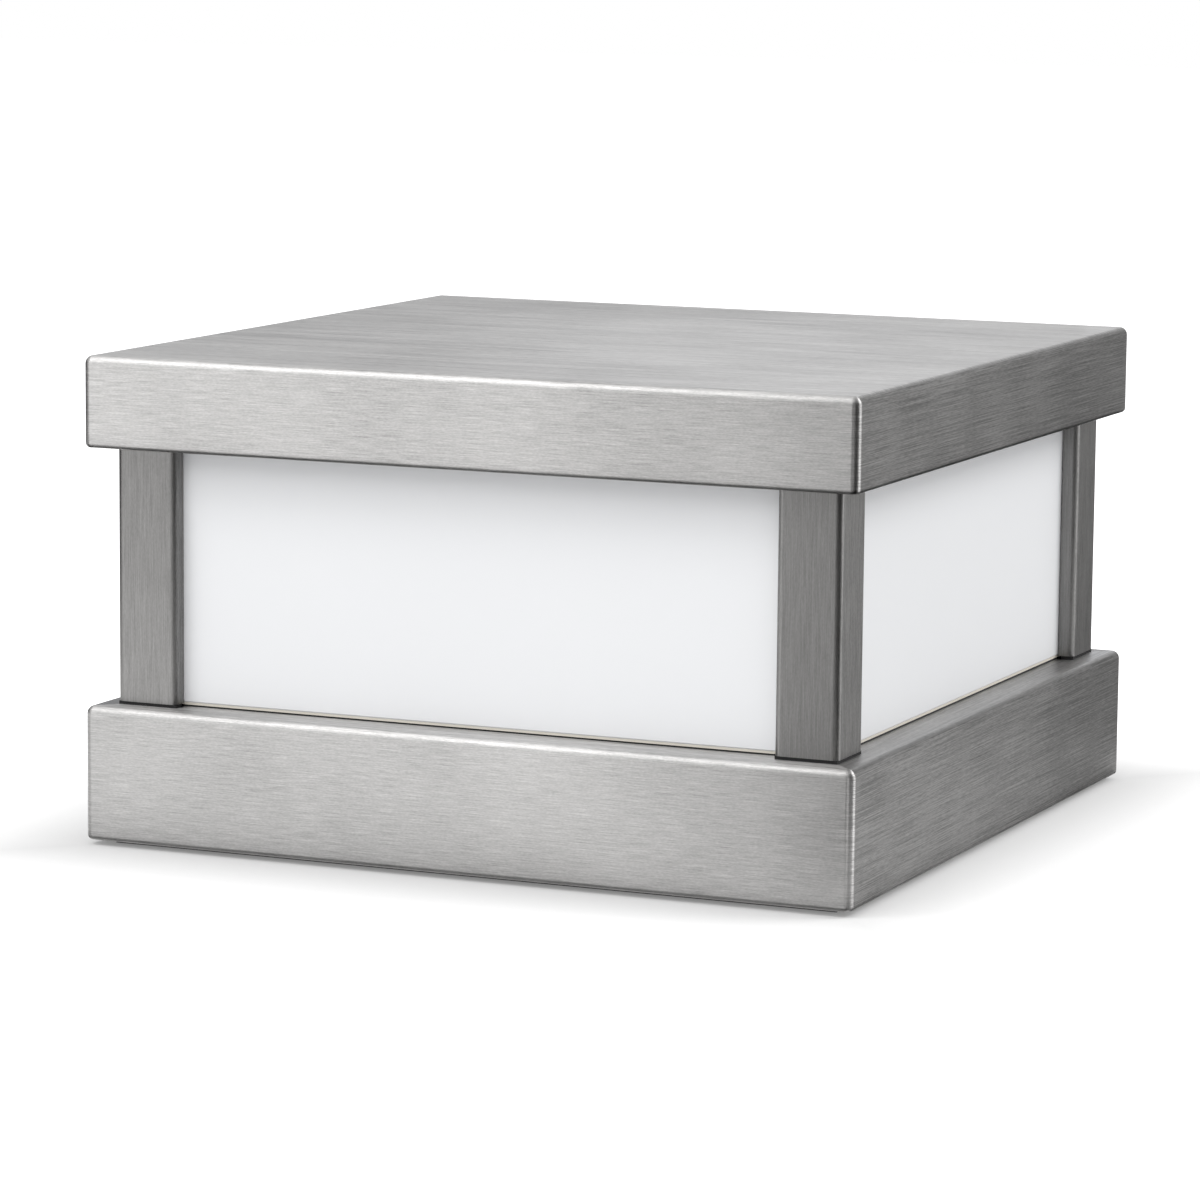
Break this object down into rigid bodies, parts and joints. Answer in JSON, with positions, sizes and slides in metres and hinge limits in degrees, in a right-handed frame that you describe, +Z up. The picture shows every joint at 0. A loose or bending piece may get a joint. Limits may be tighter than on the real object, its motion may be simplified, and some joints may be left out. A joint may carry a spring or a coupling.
{
  "type": "pillar light",
  "caption": "Square pillar-top light: folded stainless base and overhanging lift-off cap joined by corner posts, with opal panes around an LED chamber.",
  "frame": {"origin": "middle of the gasket's underside, the face that rests on the pillar", "axes": "+Z up out of the pillar, -Y towards the front of the light, +X to its right; the two grub screws of the cap are on the +Y side"},
  "size_m": [0.25, 0.25, 0.15],
  "materials": {
    "brushed_stainless": "hairline brushed",
    "plain_stainless": "mill finish",
    "steel_fasteners": "plain",
    "opal_acrylic": "opal, satin",
    "black_rubber": "matte",
    "white_paint": "powder coat",
    "white_board": "solder resist",
    "led_phosphor": "matte",
    "driver_case": "moulded",
    "terminal_nylon": "moulded",
    "orange_nylon": "moulded",
    "brass": "plain",
    "tinned_copper": "tinned",
    "brown_insulation": "matte",
    "blue_insulation": "matte",
    "green_insulation": "matte",
    "red_insulation": "matte",
    "black_insulation": "matte"
  },
  "bodies": {
    "lantern": {"base_gasket": "black_rubber", "base_housing": "brushed_stainless", "base_plate": "plain_stainless", "cable_grommet": "black_rubber", "cap_gasket": "black_rubber", "driver_straps": "plain_stainless", "earth_nut": "brass", "earth_stud": "brass", "earth_tag": "tinned_copper", "gear_tray": "white_paint", "gear_tray_screws": "steel_fasteners", "lead_earth": "green_insulation", "lead_grommet": "black_rubber", "lead_led_negative": "black_insulation", "lead_led_positive": "red_insulation", "lead_live": "brown_insulation", "lead_neutral": "blue_insulation", "led_board": "white_board", "led_connector": "driver_case", "led_driver": "driver_case", "leds": "led_phosphor", "lower_pane_seals": "black_rubber", "pane_back": "opal_acrylic", "pane_front": "opal_acrylic", "pane_left": "opal_acrylic", "pane_retainer_back_left": "plain_stainless", "pane_retainer_back_right": "plain_stainless", "pane_retainer_front_left": "plain_stainless", "pane_retainer_front_right": "plain_stainless", "pane_right": "opal_acrylic", "post_back_left": "brushed_stainless", "post_back_right": "brushed_stainless", "post_front_left": "brushed_stainless", "post_front_right": "brushed_stainless", "post_pads": "black_rubber", "terminal_block": "terminal_nylon", "terminal_levers": "orange_nylon", "tie_rod_nuts": "steel_fasteners", "tie_rods": "steel_fasteners", "top_frame": "brushed_stainless", "upper_pane_seals": "black_rubber"},
    "cap": {"cap_shell": "brushed_stainless", "cap_set_screws": "steel_fasteners", "cap_set_nuts": "steel_fasteners", "cap_reflector": "white_paint"}
  },
  "joints": [
    {"name": "cap_lift", "type": "slide", "parent": "lantern", "child": "cap", "axis": [0, 0, 1], "range_m": [0, 0.1]}
  ]
}
